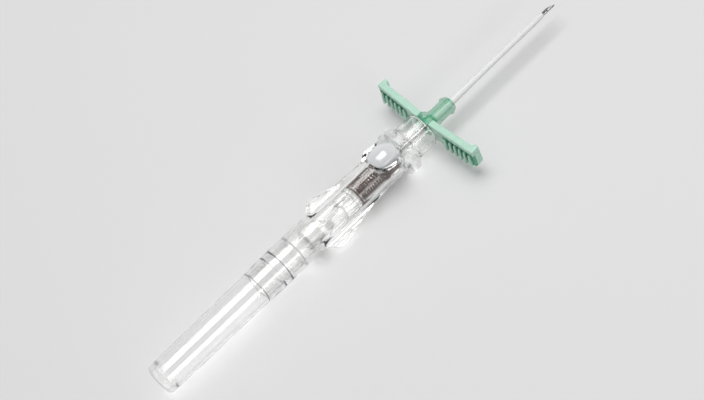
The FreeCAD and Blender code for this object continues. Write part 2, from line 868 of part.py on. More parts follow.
def make_wing(label):
    """Left wing, built from its back face and then swept forward a little."""
    body = new_body(label)
    wing_blank(body)
    wing_gusset(body)
    wing_recess(body)
    wing_ribs(body)
    sweep = FreeCAD.Rotation(V(0, 0, 1), -cell("wing_sweep").value)
    body.Placement = FreeCAD.Placement(V(cell("wing_pivot").value, 0, 0), sweep)
    bind(body, Placement__Base__x=cell("wing_pivot"))
    return body


def make_hub_half(label):
    """Left half of the green peel-away hub: half a tube and one ribbed wing."""
    return joined("Fuse", label, [hub_tube(label + "_tube"), make_wing(label + "_wing")])


def make_cannula_half(label):
    """Left half of the white introducer cannula, with a tapered tip."""
    body = new_body(label)
    back = cell("socket_front") + cell("cannula_gap") * 2
    turn_about_axis(body, "Revolution", "half_sleeve", [
        (back, cell("cannula_bore")),
        (back, cell("cannula_root_radius")),
        (cell("cannula_taper_start"), cell("cannula_root_radius")),
        (cell("cannula_taper_end"), cell("cannula_shaft_radius")),
        (cell("cannula_parallel_end"), cell("cannula_shaft_radius")),
        (cell("cannula_tip"), cell("cannula_tip_radius")),
        (cell("cannula_tip"), cell("cannula_bore")),
    ], angle=HALF_TURN, reverse=True)
    return body


def mirrored(label, source):
    """The right half is the left half's mirror image across the middle plane."""
    half = doc.addObject("Part::Mirroring", label)
    half.Source = source
    half.Normal = Y_AXIS
    return half


def check_and_write(pieces):
    doc.recompute()
    for thing in doc.Objects:
        if "Invalid" in thing.State or "Error" in thing.State:
            raise ValueError("%s failed: %s" % (thing.Label, thing.State))
    os.makedirs("parts", exist_ok=True)
    for label, piece in pieces.items():
        shape = piece.Shape
        if shape.isNull() or not shape.isValid() or len(shape.Solids) != 1:
            raise ValueError("%s is not one valid solid" % label)
        shape.exportStep("parts/%s.step" % label)
        print("%-18s %8.2f mm3" % (label, shape.Volume))


fill_sheet()
hub_left = make_hub_half("hub_left")
cannula_left = make_cannula_half("cannula_left")
check_and_write({
    "barrel": make_barrel(),
    "grip": make_grip(),
    "latch_button": make_latch_button(),
    "flash_chamber": make_flash_chamber(),
    "vent_plug": make_vent_plug(),
    "needle_hub": make_needle_hub(),
    "needle_adhesive": make_needle_adhesive(),
    "needle": make_needle(),
    "retraction_spring": make_retraction_spring(),
    "hub_left": hub_left,
    "hub_right": mirrored("hub_right", hub_left),
    "cannula_left": cannula_left,
    "cannula_right": mirrored("cannula_right", cannula_left),
})
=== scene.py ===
import math

import bmesh
import bpy
import numpy as np
from mathutils import Matrix, Vector


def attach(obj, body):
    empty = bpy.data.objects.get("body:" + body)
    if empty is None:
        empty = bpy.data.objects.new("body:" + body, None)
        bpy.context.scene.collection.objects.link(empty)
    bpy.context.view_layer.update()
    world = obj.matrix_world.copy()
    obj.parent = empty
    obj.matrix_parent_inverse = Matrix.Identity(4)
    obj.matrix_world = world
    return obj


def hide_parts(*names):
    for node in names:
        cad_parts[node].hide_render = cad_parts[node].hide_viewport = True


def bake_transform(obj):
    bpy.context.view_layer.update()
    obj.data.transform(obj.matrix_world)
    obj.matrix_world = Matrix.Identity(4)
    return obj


# Looks for the peel-away introducer needle.
# Shapes are worked out in millimetres, with X along the needle and Z towards the button.

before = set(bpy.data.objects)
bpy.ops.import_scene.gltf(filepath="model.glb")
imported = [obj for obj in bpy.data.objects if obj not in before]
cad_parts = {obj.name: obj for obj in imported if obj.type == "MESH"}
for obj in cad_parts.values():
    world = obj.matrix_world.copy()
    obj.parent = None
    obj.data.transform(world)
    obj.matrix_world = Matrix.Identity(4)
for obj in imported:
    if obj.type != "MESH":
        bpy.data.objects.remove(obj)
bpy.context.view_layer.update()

MM = 0.001

# Camera, fitted to the photograph

CAMERA_PLACE = (-0.0649609, -0.3109594, 0.4525999)
CAMERA_RIGHT = (0.7046477, -0.6600413, -0.2604172)
CAMERA_DOWN = (-0.6747772, -0.5098490, -0.5336007)
CAMERA_FORWARD = (0.2194250, 0.5517241, -0.8046447)
FOCAL_PIXELS = 2554.1
IMAGE_WIDTH = 704
SENSOR_WIDTH = 36.0


def make_camera():
    data = bpy.data.cameras.new("camera")
    data.sensor_width = SENSOR_WIDTH
    data.lens = FOCAL_PIXELS / IMAGE_WIDTH * SENSOR_WIDTH
    data.clip_start = 0.01
    data.clip_end = 20
    camera = bpy.data.objects.new("camera", data)
    bpy.context.scene.collection.objects.link(camera)
    right, down, forward = Vector(CAMERA_RIGHT), Vector(CAMERA_DOWN), Vector(CAMERA_FORWARD)
    turn = Matrix((right, -down, -forward)).transposed()
    camera.matrix_world = Matrix.Translation(CAMERA_PLACE) @ turn.to_4x4()
    bpy.context.scene.camera = camera


# Distance fields

class Field:
    """A box of sample points, step apart, on which solids are added and cut as signed distances."""

    def __init__(self, low, high, step):
        self.step = step
        self.low = np.array(low, float)
        counts = [int(math.ceil((b - a) / step)) + 1 for a, b in zip(low, high)]
        axes = [a + step * np.arange(n) for a, n in zip(low, counts)]
        self.x = axes[0].reshape(-1, 1, 1).astype(np.float32)
        self.y = axes[1].reshape(1, -1, 1).astype(np.float32)
        self.z = axes[2].reshape(1, 1, -1).astype(np.float32)
        self.radius = np.sqrt(self.y ** 2 + self.z ** 2)

    def turned(self, profile):
        """Distance to the solid that a profile of (x, radius) points makes round the needle's axis."""
        radius = self.radius[0]
        pitch = self.step / 4
        rings = np.arange(0, float(radius.max()) + 2 * pitch, pitch)
        table = polygon_distance(self.x.reshape(-1, 1), rings.reshape(1, -1), profile)
        place = radius / pitch
        index = np.minimum(place.astype(int), len(rings) - 2)
        part = (place - index).astype(np.float32)
        return table[:, index] * (1 - part) + table[:, index + 1] * part

    def upright(self, plan, low, high):
        """Distance to a solid with a plan of (x, y) points between two heights."""
        flat = polygon_distance(self.x[:, :, 0], self.y[:, :, 0].reshape(1, -1), plan)[:, :, None]
        return np.maximum(flat, np.maximum(low - self.z, self.z - high))

    def sideways(self, section, low, high):
        """Distance to a solid with a section of (x, z) points between two places along Y."""
        flat = polygon_distance(self.x[:, 0, :], self.z[0], section)[:, None, :]
        return np.maximum(flat, np.maximum(low - self.y, self.y - high))

    def block(self, low, high):
        places = (self.x, self.y, self.z)
        sides = [np.maximum(a - place, place - b) for a, b, place in zip(low, high, places)]
        return np.maximum(np.maximum(sides[0], sides[1]), sides[2])

    def rod_along_x(self, y0, z0, radius):
        return np.sqrt((self.y - y0) ** 2 + (self.z - z0) ** 2) - radius


def polygon_distance(x, y, points):
    """Signed distance to a closed polygon, below zero inside, for arrays of places."""
    x, y = np.broadcast_arrays(x, y)
    best = np.full(x.shape, np.inf)
    inside = np.zeros(x.shape, bool)
    for (x0, y0), (x1, y1) in zip(points, points[1:] + points[:1]):
        dx, dy = x1 - x0, y1 - y0
        length = dx * dx + dy * dy
        if length < 1e-12:
            continue
        share = np.clip(((x - x0) * dx + (y - y0) * dy) / length, 0, 1)
        best = np.minimum(best, (x - x0 - share * dx) ** 2 + (y - y0 - share * dy) ** 2)
        if y0 != y1:
            crosses = (y0 > y) != (y1 > y)
            inside ^= crosses & (x < x0 + (y - y0) * dx / dy)
    return (np.sqrt(best) * np.where(inside, -1, 1)).astype(np.float32)


def joined(*solids, blend=0.0):
    """Union of distance fields, with a round fillet of about the given size where they meet."""
    result = solids[0]
    for solid in solids[1:]:
        if blend > 0:
            share = np.clip(0.5 + (solid - result) / (2 * blend), 0, 1)
            result = solid * (1 - share) + result * share - blend * share * (1 - share)
        else:
            result = np.minimum(result, solid)
    return result


def without(solid, *tools):
    for tool in tools:
        solid = np.maximum(solid, -tool)
    return solid


def softened(field, rounds):
    """Blur a field a little, which rounds every edge and fillets every corner."""
    for _ in range(rounds):
        for axis in range(3):
            before = np.roll(field, 1, axis)
            after = np.roll(field, -1, axis)
            field = (before + 2 * field + after) / 4
    return field


def sample(volume, places):
    """Values of a volume at places given in grid steps, with straight blending."""
    top = np.array(volume.shape) - 2
    index = np.clip(np.floor(places).astype(int), 0, top)
    part = places - index
    total = np.zeros(len(places))
    for corner in range(8):
        offset = np.array([corner & 1, corner >> 1 & 1, corner >> 2 & 1])
        weight = np.prod(np.where(offset, part, 1 - part), axis=1)
        i, j, k = (index + offset).T
        total += weight * volume[i, j, k]
    return total


def skin(name, grid, field):
    """A smooth closed mesh on the zero surface of a field, one vertex in each crossed cell."""
    field = field.astype(np.float32)
    low = field < 0
    count = sum(low[i:i - 1 or None, j:j - 1 or None, k:k - 1 or None].astype(np.int8)
                for i in (0, 1) for j in (0, 1) for k in (0, 1))
    cells = np.argwhere((count > 0) & (count < 8))
    corners = [np.array([c & 1, c >> 1 & 1, c >> 2 & 1]) for c in range(8)]
    values = [field[tuple((cells + corner).T)] for corner in corners]
    total = np.zeros((len(cells), 3))
    hits = np.zeros(len(cells))
    for a in range(8):
        for b in range(a + 1, 8):
            if np.abs(corners[a] - corners[b]).sum() != 1:
                continue
            crossed = (values[a] < 0) != (values[b] < 0)
            share = np.where(crossed, values[a] / np.where(crossed, values[a] - values[b], 1), 0)
            total += crossed[:, None] * (corners[a] + share[:, None] * (corners[b] - corners[a]))
            hits += crossed
    places = cells + total / hits[:, None]
    slopes = np.gradient(field)
    rounds, most_move, slack = 3, 0.5, 0.2
    for _ in range(rounds):
        value = sample(field, places)
        slope = np.stack([sample(part, places) for part in slopes], axis=1)
        steepness = np.maximum((slope ** 2).sum(axis=1), 1e-6)
        move = value[:, None] * slope / steepness[:, None]
        move = np.clip(move, -most_move, most_move)
        places = np.clip(places - move, cells - slack, cells + (1 + slack))
    slope = np.stack([sample(part, places) for part in slopes], axis=1)
    normals = slope / np.maximum(np.linalg.norm(slope, axis=1), 1e-9)[:, None]
    number = np.full(tuple(np.array(field.shape) - 1), -1, np.int32)
    number[tuple(cells.T)] = np.arange(len(cells))
    faces = []
    for axis in range(3):
        after = [slice(None)] * 3
        before = [slice(None)] * 3
        before[axis] = slice(None, -1)
        after[axis] = slice(1, None)
        first, second = low[tuple(before)], low[tuple(after)]
        edges = np.argwhere(first != second)
        starts_inside = first[tuple(edges.T)]
        u, v = [(1, 2), (2, 0), (0, 1)][axis]
        ring = []
        for du, dv in ((-1, -1), (0, -1), (0, 0), (-1, 0)):
            cell = edges.copy()
            cell[:, u] += du
            cell[:, v] += dv
            ring.append(number[tuple(cell.T)])
        ring = np.stack(ring, axis=1)
        ring[~starts_inside] = ring[~starts_inside][:, ::-1]
        faces.append(ring)
    faces = np.concatenate(faces)
    points = (grid.low + places * grid.step) * MM
    piece = new_mesh(name, points, faces)
    piece.data.normals_split_custom_set_from_vertices(normals)
    return piece


# Meshes

def new_mesh(name, points, faces):
    mesh = bpy.data.meshes.new(name)
    mesh.from_pydata([tuple(p) for p in points], [], [tuple(int(i) for i in face) for face in faces])
    mesh.update()
    mesh.polygons.foreach_set("use_smooth", [True] * len(mesh.polygons))
    piece = bpy.data.objects.new(name, mesh)
    bpy.context.scene.collection.objects.link(piece)
    return piece


def rounded(points, radius, steps=4):
    """The same closed outline with its corners turned into small arcs."""
    result = []
    count = len(points)
    most_of_side, nearly_straight = 0.45, math.pi - 0.05
    for i, (x, y) in enumerate(points):
        corner = Vector((x, y))
        before = Vector(points[i - 1]) - corner
        after = Vector(points[(i + 1) % count]) - corner
        if min(before.length, after.length) < 1e-6 or y < 1e-6:
            result.append((x, y))
            continue
        cut = min(radius, before.length * most_of_side, after.length * most_of_side)
        if before.angle(after) > nearly_straight:
            result.append((x, y))
            continue
        start = corner + before.normalized() * cut
        end = corner + after.normalized() * cut
        for k in range(steps + 1):
            t = k / steps
            point = start * (1 - t) ** 2 + corner * (2 * t * (1 - t)) + end * t ** 2
            result.append((point.x, point.y))
    return result


def lathe(name, profile, segments=96, first=0.0, last=2 * math.pi, radius=0.12, spacing=2.0):
    """Turn a closed outline of (x, radius) points about X, all the way round or part of it."""
    outline = rounded(profile, radius)
    dense = []
    for (x0, y0), (x1, y1) in zip(outline, outline[1:] + outline[:1]):
        parts = max(1, int(math.hypot(x1 - x0, y1 - y0) / spacing))
        dense += [(x0 + (x1 - x0) * k / parts, y0 + (y1 - y0) * k / parts) for k in range(parts)]
    whole = last - first > 2 * math.pi - 1e-6
    turns = segments if whole else segments + 1
    points = []
    for k in range(turns):
        angle = first + (last - first) * k / segments
        points += [(x * MM, y * math.cos(angle) * MM, y * math.sin(angle) * MM) for x, y in dense]
    size = len(dense)
    faces = []
    for k in range(segments):
        a, b = k * size, (k + 1) % turns * size
        for i in range(size):
            j = (i + 1) % size
            faces.append((a + i, b + i, b + j, a + j))
    if not whole:
        faces.append(tuple(range(size)))
        faces.append(tuple((turns - 1) * size + i for i in range(size))[::-1])
    piece = new_mesh(name, points, faces)
    tidy_mesh(piece)
    sharpen(piece)
    return piece


def tidy_mesh(piece):
    """Weld the points on the axis, drop what has no area and turn every face outward."""
    work = bmesh.new()
    work.from_mesh(piece.data)
    bmesh.ops.remove_doubles(work, verts=work.verts, dist=1e-7)
    bmesh.ops.dissolve_degenerate(work, edges=work.edges, dist=1e-8)
    bmesh.ops.recalc_face_normals(work, faces=work.faces)
    work.to_mesh(piece.data)
    work.free()


def sharpen(piece, angle=40):
    """Smooth shading, but for edges that turn more than the angle."""
    piece.data.set_sharp_from_angle(angle=math.radians(angle))


def mirrored(piece, name):
    """A mirror copy on the other side of the middle plane."""
    mesh = piece.data
    points = np.zeros(len(mesh.vertices) * 3)
    mesh.vertices.foreach_get("co", points)
    points = points.reshape(-1, 3) * (1, -1, 1)
    faces = [tuple(reversed(polygon.vertices)) for polygon in mesh.polygons]
    normals = np.zeros(len(mesh.vertices) * 3)
    mesh.vertices.foreach_get("normal", normals)
    normals = normals.reshape(-1, 3) * (1, -1, 1)
    copy = new_mesh(name, points, faces)
    copy.data.normals_split_custom_set_from_vertices(normals)
    return copy


def place(piece, material, body, slot, *nodes):
    """Give a piece its material and body, and hide the CAD nodes that it stands for."""
    piece.data.materials.clear()
    piece.data.materials.append(material)
    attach(piece, body)
    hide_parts(*nodes)


# Sizes that several shapes or a material share, in millimetres

BARREL_FRONT, BARREL_FRONT_RADIUS = 41.1, 4.22
SNAP_REAR, SNAP_FRONT = 34.72, 36.58
BELLY_FOOT = 47.1
WAIST_END, WAIST_RADIUS = 66.0, 4.23
COLLAR_REAR = 72.3
CUP_FRONT, SNOUT_RADIUS, SNOUT_BORE = 81.5, 1.62, 0.8
# how far the button goes down when it is pressed
PRESS = 1.3
SPRING_REAR, SPRING_FRONT = 59.05, 71.6
# the wings' rear face on the axis, and their sweep in degrees
WING_BACK, WING_SWEEP = 81.89, 2.25
# the rest of a wing in its own swept frame, forwards from its rear face and outwards
WING_FRONT, WING_ROOT, WING_SPAN, WING_HALF_HEIGHT = 1.69, 1.85, 15.45, 2.75
HOLLOW_INNER_END = 6.1


# Materials

PLASTIC_IOR = 1.49
# how far light spreads inside plastic, in metres
SCATTER_DEPTH = 0.0012
# noise below the first value counts as low, and above the second as high
NOISE_LOW, NOISE_HIGH = 0.3, 0.7
# features per metre of flow waves, clouds of colour, patches of gloss and the lines of drawn steel
WAVES, CLOUDS, GLOSS_PATCHES, DRAWN_LINES = 160, 220, 900, 4000
SOFT_DETAIL = 3.0
WAVE_STRETCH = (0.35, 1, 1)
# the least and most roughness, as shares of the material's own
PLASTIC_UNEVEN, STEEL_UNEVEN = (0.85, 1.2), (0.7, 1.4)

CLEAR_ROUGHNESS = 0.05
BARREL_CLEAR, GRIP_CLEAR, INNER_CLEAR = (0.965, 0.965, 0.965), (0.975, 0.977, 0.972), (0.97, 0.97, 0.965)
# how much of a lamp's light passes each surface
OUTER_PASSES, INNER_PASSES = 0.94, 0.97

# the two colours that each material runs between
BUTTON_WHITE = ((0.62, 0.63, 0.645), (0.66, 0.67, 0.685))
CANNULA_WHITE = ((0.72, 0.73, 0.72), (0.80, 0.81, 0.80))
PLUG_WHITE = ((0.50, 0.50, 0.485), (0.60, 0.60, 0.585))
GLUE = ((0.85, 0.83, 0.75), (0.9, 0.88, 0.8))
NEEDLE_STEEL = ((0.30, 0.29, 0.29), (0.46, 0.45, 0.45))
SPRING_STEEL = ((0.075, 0.042, 0.032), (0.18, 0.115, 0.09))
MINT = ((0.42, 0.66, 0.54), (0.46, 0.69, 0.57))
MINT_THIN = ((0.03, 0.40, 0.20), (0.06, 0.46, 0.24))
# painted shade: a deep mint that darkens the wings' hollow between the ribs, where shade falls
MINT_PAINTED_SHADE = ((0.07, 0.33, 0.19), (0.10, 0.38, 0.23))

# stretches along X, in millimetres, where a share of what lies behind shows straight through
REAR_END, SPIGOT, COLLAR = (-1.0, 2.9, 0.65), (28.6, 47.0, 0.3), (71.6, 77.2, 0.5)
SEE_THROUGH_FADE = 1.0
# how far from the axis the hub is thin, how far out it is solid, and how much of it shows where it is thin
THIN_WITHIN, SOLID_BEYOND, THIN_ALPHA = 2.4, 3.6, 0.38
# where the painted shade of deep mint comes in, from the ribs' tips to their roots and from the hollow's
# inner end outwards, and where it goes past the hollow's floor and top
ROOT_FADE, FLOOR_FADE, TOP_FADE = (-0.5, 0.1), (0.6, 0.75), (1.15, 1.4)
INNER_FADE = (5.7, HOLLOW_INNER_END)


def new_material(name):
    material = bpy.data.materials.new(name)
    material.use_nodes = True
    tree = material.node_tree
    shader = tree.nodes["Principled BSDF"]
    return material, tree, shader


def own_coordinates(tree):
    """A point's place in the piece's own coordinates, in metres."""
    return tree.nodes.new("ShaderNodeTexCoord").outputs["Object"]


def mask(tree, value, low, high):
    """A number that runs from 0 at low to 1 at high."""
    step = tree.nodes.new("ShaderNodeMapRange")
    step.interpolation_type = "SMOOTHSTEP"
    step.inputs["From Min"].default_value = low
    step.inputs["From Max"].default_value = high
    tree.links.new(value, step.inputs["Value"])
    return step.outputs["Result"]


def fade(tree, place_along, low, high):
    """A number that runs from 0 to 1 between two places in millimetres."""
    return mask(tree, place_along, low * MM, high * MM)


def noise(tree, scale, detail=2.0, stretch=(1, 1, 1)):
    """Noise in the piece's own coordinates, in features per metre."""
    mapping = tree.nodes.new("ShaderNodeMapping")
    mapping.inputs["Scale"].default_value = stretch
    texture = tree.nodes.new("ShaderNodeTexNoise")
    texture.inputs["Scale"].default_value = scale
    texture.inputs["Detail"].default_value = detail
    tree.links.new(own_coordinates(tree), mapping.inputs["Vector"])
    tree.links.new(mapping.outputs["Vector"], texture.inputs["Vector"])
    return texture.outputs["Fac"]


def uneven(tree, pattern, roughness, shares):
    """A roughness that changes with a noise pattern, between two shares of its value."""
    ramp = tree.nodes.new("ShaderNodeMapRange")
    ramp.inputs["From Min"].default_value = NOISE_LOW
    ramp.inputs["From Max"].default_value = NOISE_HIGH
    ramp.inputs["To Min"].default_value = roughness * shares[0]
    ramp.inputs["To Max"].default_value = roughness * shares[1]
    tree.links.new(pattern, ramp.inputs["Value"])
    return ramp.outputs["Result"]


def tint(tree, factor, low, high):
    """A colour between two colours."""
    mix = tree.nodes.new("ShaderNodeMix")
    mix.data_type = "RGBA"
    mix.inputs["A"].default_value = (*low, 1)
    mix.inputs["B"].default_value = (*high, 1)
    tree.links.new(factor, mix.inputs["Factor"])
    return mix.outputs["Result"]


def clouded(tree, colours):
    """A colour that drifts softly between two colours."""
    return tint(tree, noise(tree, CLOUDS, SOFT_DETAIL), *colours)


def blended(tree, factor, low, high):
    """A colour between two colours that other nodes give."""
    mix = tree.nodes.new("ShaderNodeMix")
    mix.data_type = "RGBA"
    tree.links.new(factor, mix.inputs["Factor"])
    tree.links.new(low, mix.inputs["A"])
    tree.links.new(high, mix.inputs["B"])
    return mix.outputs["Result"]


def arithmetic(tree, operation, first, second):
    """A number from two others, each of them a node's output or a plain number."""
    node = tree.nodes.new("ShaderNodeMath")
    node.operation = operation
    for socket, value in zip(node.inputs, (first, second)):
        if isinstance(value, (int, float)):
            socket.default_value = value
        else:
            tree.links.new(value, socket)
    return node.outputs["Value"]


def bump(tree, shader, height, depth):
    """Relief from a pattern, so many metres deep."""
    node = tree.nodes.new("ShaderNodeBump")
    node.inputs["Strength"].default_value = 1.0
    node.inputs["Distance"].default_value = depth
    tree.links.new(height, node.inputs["Height"])
    tree.links.new(node.outputs["Normal"], shader.inputs["Normal"])


def clear_plastic(name, colour, wave_depth, passes):
    """Clear moulded plastic with faint flow waves; rays from lamps pass through it."""
    material, tree, shader = new_material(name)
    shader.inputs["Base Color"].default_value = (*colour, 1)
    shader.inputs["Transmission Weight"].default_value = 1.0
    shader.inputs["IOR"].default_value = PLASTIC_IOR
    shader.inputs["Roughness"].default_value = CLEAR_ROUGHNESS
    bump(tree, shader, noise(tree, WAVES, SOFT_DETAIL, WAVE_STRETCH), wave_depth)
    path = tree.nodes.new("ShaderNodeLightPath")
    open_way = tree.nodes.new("ShaderNodeBsdfTransparent")
    open_way.inputs["Color"].default_value = (passes, passes, passes, 1)
    mix = tree.nodes.new("ShaderNodeMixShader")
    tree.links.new(path.outputs["Is Shadow Ray"], mix.inputs["Fac"])
    tree.links.new(shader.outputs["BSDF"], mix.inputs[1])
    tree.links.new(open_way.outputs["BSDF"], mix.inputs[2])
    tree.links.new(mix.outputs["Shader"], tree.nodes["Material Output"].inputs["Surface"])
    return material


def position(tree):
    """A point's place in the piece's own coordinates, as separate X, Y and Z."""
    split = tree.nodes.new("ShaderNodeSeparateXYZ")
    tree.links.new(own_coordinates(tree), split.inputs["Vector"])
    return split.outputs


def see_through_between(material, *stretches):
    """Let a share of what lies behind show straight through thick stretches, which else look too dark."""
    tree = material.node_tree
    place_x = position(tree)["X"]
    alpha = 1
    for rear, front, share in stretches:
        behind = fade(tree, place_x, rear, rear + SEE_THROUGH_FADE)
        ahead = fade(tree, place_x, front - SEE_THROUGH_FADE, front)
        within = arithmetic(tree, "SUBTRACT", behind, ahead)
        alpha = arithmetic(tree, "SUBTRACT", alpha, arithmetic(tree, "MULTIPLY", within, share))
    tree.links.new(alpha, tree.nodes["Principled BSDF"].inputs["Alpha"])


def barrel_plastic():
    material = clear_plastic("clear_barrel", BARREL_CLEAR, wave_depth=0.000003, passes=OUTER_PASSES)
    see_through_between(material, REAR_END)
    return material


def grip_plastic():
    material = clear_plastic("clear_grip", GRIP_CLEAR, wave_depth=0.00003, passes=OUTER_PASSES)
    see_through_between(material, SPIGOT, COLLAR)
    return material


def plastic(name, colours, roughness, grain_scale, grain_depth, subsurface=0.0, transmission=0.0):
    """Moulded plastic: a slight change of colour, uneven gloss and a fine skin."""
    material, tree, shader = new_material(name)
    tree.links.new(clouded(tree, colours), shader.inputs["Base Color"])
    gloss = uneven(tree, noise(tree, GLOSS_PATCHES), roughness, PLASTIC_UNEVEN)
    tree.links.new(gloss, shader.inputs["Roughness"])
    shader.inputs["IOR"].default_value = PLASTIC_IOR
    shader.inputs["Subsurface Weight"].default_value = subsurface
    shader.inputs["Subsurface Radius"].default_value = (1.0, 1.0, 1.0)
    shader.inputs["Subsurface Scale"].default_value = SCATTER_DEPTH
    shader.inputs["Transmission Weight"].default_value = transmission
    bump(tree, shader, noise(tree, grain_scale), grain_depth)
    return material


def button_plastic():
    """White plastic with a glossy top coat."""
    material = plastic("button_white", BUTTON_WHITE, roughness=0.13, grain_scale=5000, grain_depth=0.000002,
                       subsurface=0.1)
    material.node_tree.nodes["Principled BSDF"].inputs["Coat Weight"].default_value = 1.0
    return material


def distance_from_axis(tree):
    """How far a point of a piece is from the needle's axis, in metres."""
    flat = tree.nodes.new("ShaderNodeVectorMath")
    flat.operation = "MULTIPLY"
    flat.inputs[1].default_value = (0, 1, 1)
    length = tree.nodes.new("ShaderNodeVectorMath")
    length.operation = "LENGTH"
    tree.links.new(own_coordinates(tree), flat.inputs[0])
    tree.links.new(flat.outputs["Vector"], length.inputs[0])
    return length.outputs["Value"]


def painted_shade_between_ribs(tree):
    """Where shade is painted: 1 on the floor of the wings' hollow and at the ribs' roots, 0 on the ribs'
    tips and outside.
    """
    spot = position(tree)
    outward = arithmetic(tree, "ABSOLUTE", spot["Y"], 0)
    swept = arithmetic(tree, "MULTIPLY", outward, math.tan(math.radians(WING_SWEEP)))
    back = arithmetic(tree, "ADD", swept, WING_BACK * MM)
    depth = arithmetic(tree, "SUBTRACT", spot["X"], back)
    root = fade(tree, depth, *ROOT_FADE)
    past_floor = fade(tree, depth, *FLOOR_FADE)
    past_top = fade(tree, spot["Z"], *TOP_FADE)
    past_inner_end = fade(tree, outward, *INNER_FADE)
    result = arithmetic(tree, "MULTIPLY", root, past_inner_end)
    for outside in (past_floor, past_top):
        result = arithmetic(tree, "MULTIPLY", result, arithmetic(tree, "SUBTRACT", 1, outside))
    return result


def hub_plastic():
    """Mint plastic: see-through where it is thin round the cannula, with deep shade painted between the
    ribs.
    """
    material = plastic("hub_green", MINT, roughness=0.26, grain_scale=6000, grain_depth=0.000003,
                       subsurface=0.1)
    tree = material.node_tree
    shader = tree.nodes["Principled BSDF"]
    plain = shader.inputs["Base Color"].links[0].from_socket
    thickness = fade(tree, distance_from_axis(tree), THIN_WITHIN, SOLID_BEYOND)
    # painted shade: the wings turn deep mint in the hollow between the ribs
    wings = blended(tree, painted_shade_between_ribs(tree), plain, clouded(tree, MINT_PAINTED_SHADE))
    colour = blended(tree, thickness, clouded(tree, MINT_THIN), wings)
    tree.links.new(colour, shader.inputs["Base Color"])
    # rays from the lamps pass the thin wall, so that the cannula inside stays bright
    shadow_ray = tree.nodes.new("ShaderNodeLightPath").outputs["Is Shadow Ray"]
    seen = arithmetic(tree, "SUBTRACT", 1, shadow_ray)
    ramp = tree.nodes.new("ShaderNodeMapRange")
    tree.links.new(arithmetic(tree, "MULTIPLY", seen, THIN_ALPHA), ramp.inputs["To Min"])
    tree.links.new(thickness, ramp.inputs["Value"])
    tree.links.new(ramp.outputs["Result"], shader.inputs["Alpha"])
    return material


def steel(name, colours, roughness, stretch):
    """Drawn stainless steel: fine lines, drawn out along an axis by the stretch."""
    line_depth = 0.000001
    material, tree, shader = new_material(name)
    shader.inputs["Metallic"].default_value = 1.0
    lines = noise(tree, DRAWN_LINES, stretch=stretch)
    tree.links.new(tint(tree, lines, *colours), shader.inputs["Base Color"])
    tree.links.new(uneven(tree, lines, roughness, STEEL_UNEVEN), shader.inputs["Roughness"])
    bump(tree, shader, lines, line_depth)
    return material


# The pieces. Sizes are in millimetres, and the points of a turned profile are (x, radius).

# a radius past the axis for what is turned solid, and a distance past every surface for what is cut through
PAST_AXIS, FAR = -1, 9


def arc_points(start, end, radius, turn, count=24):
    """Points on the short arc from start to end; turn is 1 for anticlockwise."""
    start, end = np.array(start, float), np.array(end, float)
    chord = end - start
    length = np.hypot(*chord)
    left = np.array([-chord[1], chord[0]]) / length
    centre = (start + end) / 2 + left * turn * math.sqrt(radius ** 2 - (length / 2) ** 2)
    a, b = (math.atan2(*(p - centre)[::-1]) for p in (start, end))
    if turn > 0 and b < a:
        b += 2 * math.pi
    if turn < 0 and b > a:
        b -= 2 * math.pi
    angles = np.linspace(a, b, count)
    return [tuple(centre + radius * np.array([math.cos(t), math.sin(t)])) for t in angles]


def make_barrel():
    """Clear barrel: closed round-cornered rear end, a small step, and a socket for the grip."""
    step_rear, step_front, rear_radius = 31.2, 33.2, 4.08
    socket_rear, socket, groove, slope, cavity = 29.67, 3.51, 3.73, 0.25, 3.25
    end_face, corner_front, corner_side, corner_radius = 2.88, 1.0, 3.885, 1.0
    end_wall, cavity_face, cavity_rear, cavity_side, cavity_radius = 1.1, 2.26, 1.9, 3.055, 0.8
    corner = arc_points((0, end_face), (corner_front, corner_side), corner_radius, -1, 12)
    cavity_end = arc_points((cavity_rear, cavity_side), (end_wall, cavity_face), cavity_radius, 1, 10)
    outside = [(0, 0)] + corner + [
        (step_rear, rear_radius), (step_front, BARREL_FRONT_RADIUS), (BARREL_FRONT, BARREL_FRONT_RADIUS)]
    snap_groove = [
        (BARREL_FRONT, socket), (SNAP_FRONT + slope, socket), (SNAP_FRONT, groove),
        (SNAP_REAR, groove), (SNAP_REAR - slope, socket), (socket_rear, socket)]
    inside = [(socket_rear, cavity)] + cavity_end + [(end_wall, 0)]
    return lathe("barrel_shell", outside + snap_groove + inside, segments=128, radius=0.3)


def egg(margin):
    """The button's plan as points, with a margin all round."""
    half, centre = 2.85 + margin, 69.0
    front, corner = 73.1 + margin, 1.6 + margin
    points = [(centre + half * math.cos(a), half * math.sin(a))
              for a in np.linspace(math.pi / 2, 3 * math.pi / 2, 33)]
    for middle, start in ((-half + corner, -math.pi / 2), (half - corner, 0)):
        points += [(front - corner + corner * math.cos(a), middle + corner * math.sin(a))
                   for a in np.linspace(start, start + math.pi / 2, 13)]
    return points


